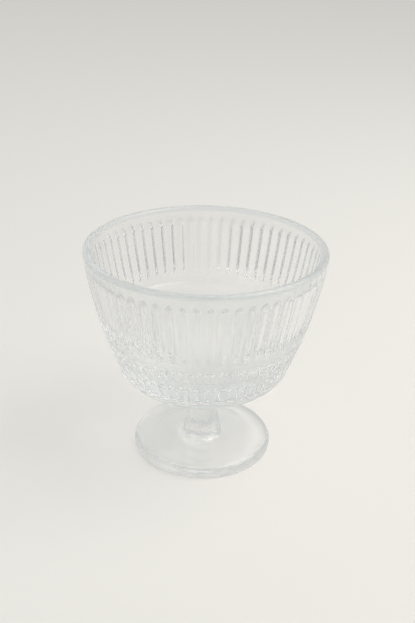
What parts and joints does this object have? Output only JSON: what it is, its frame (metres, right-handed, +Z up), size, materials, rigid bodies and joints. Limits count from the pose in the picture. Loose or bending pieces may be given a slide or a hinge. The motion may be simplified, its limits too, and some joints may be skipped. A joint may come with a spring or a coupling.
{
  "type": "footed ice cream glass",
  "caption": "Footed pressed-glass bowl for ice cream, with tall flutes over two bands of short ribs, a short waisted stem and a thick round foot.",
  "frame": {"origin": "centre of the ring that the foot stands on, at the table", "axes": "+Z up along the glass's axis of turning; +X and +Y are level, and a ridge between two flutes lies on +X"},
  "size_m": [0.106, 0.106, 0.1],
  "materials": {
    "clear_glass": "polished"
  },
  "bodies": {
    "root": {"bowl": "clear_glass", "stem": "clear_glass", "foot": "clear_glass"}
  },
  "joints": []
}
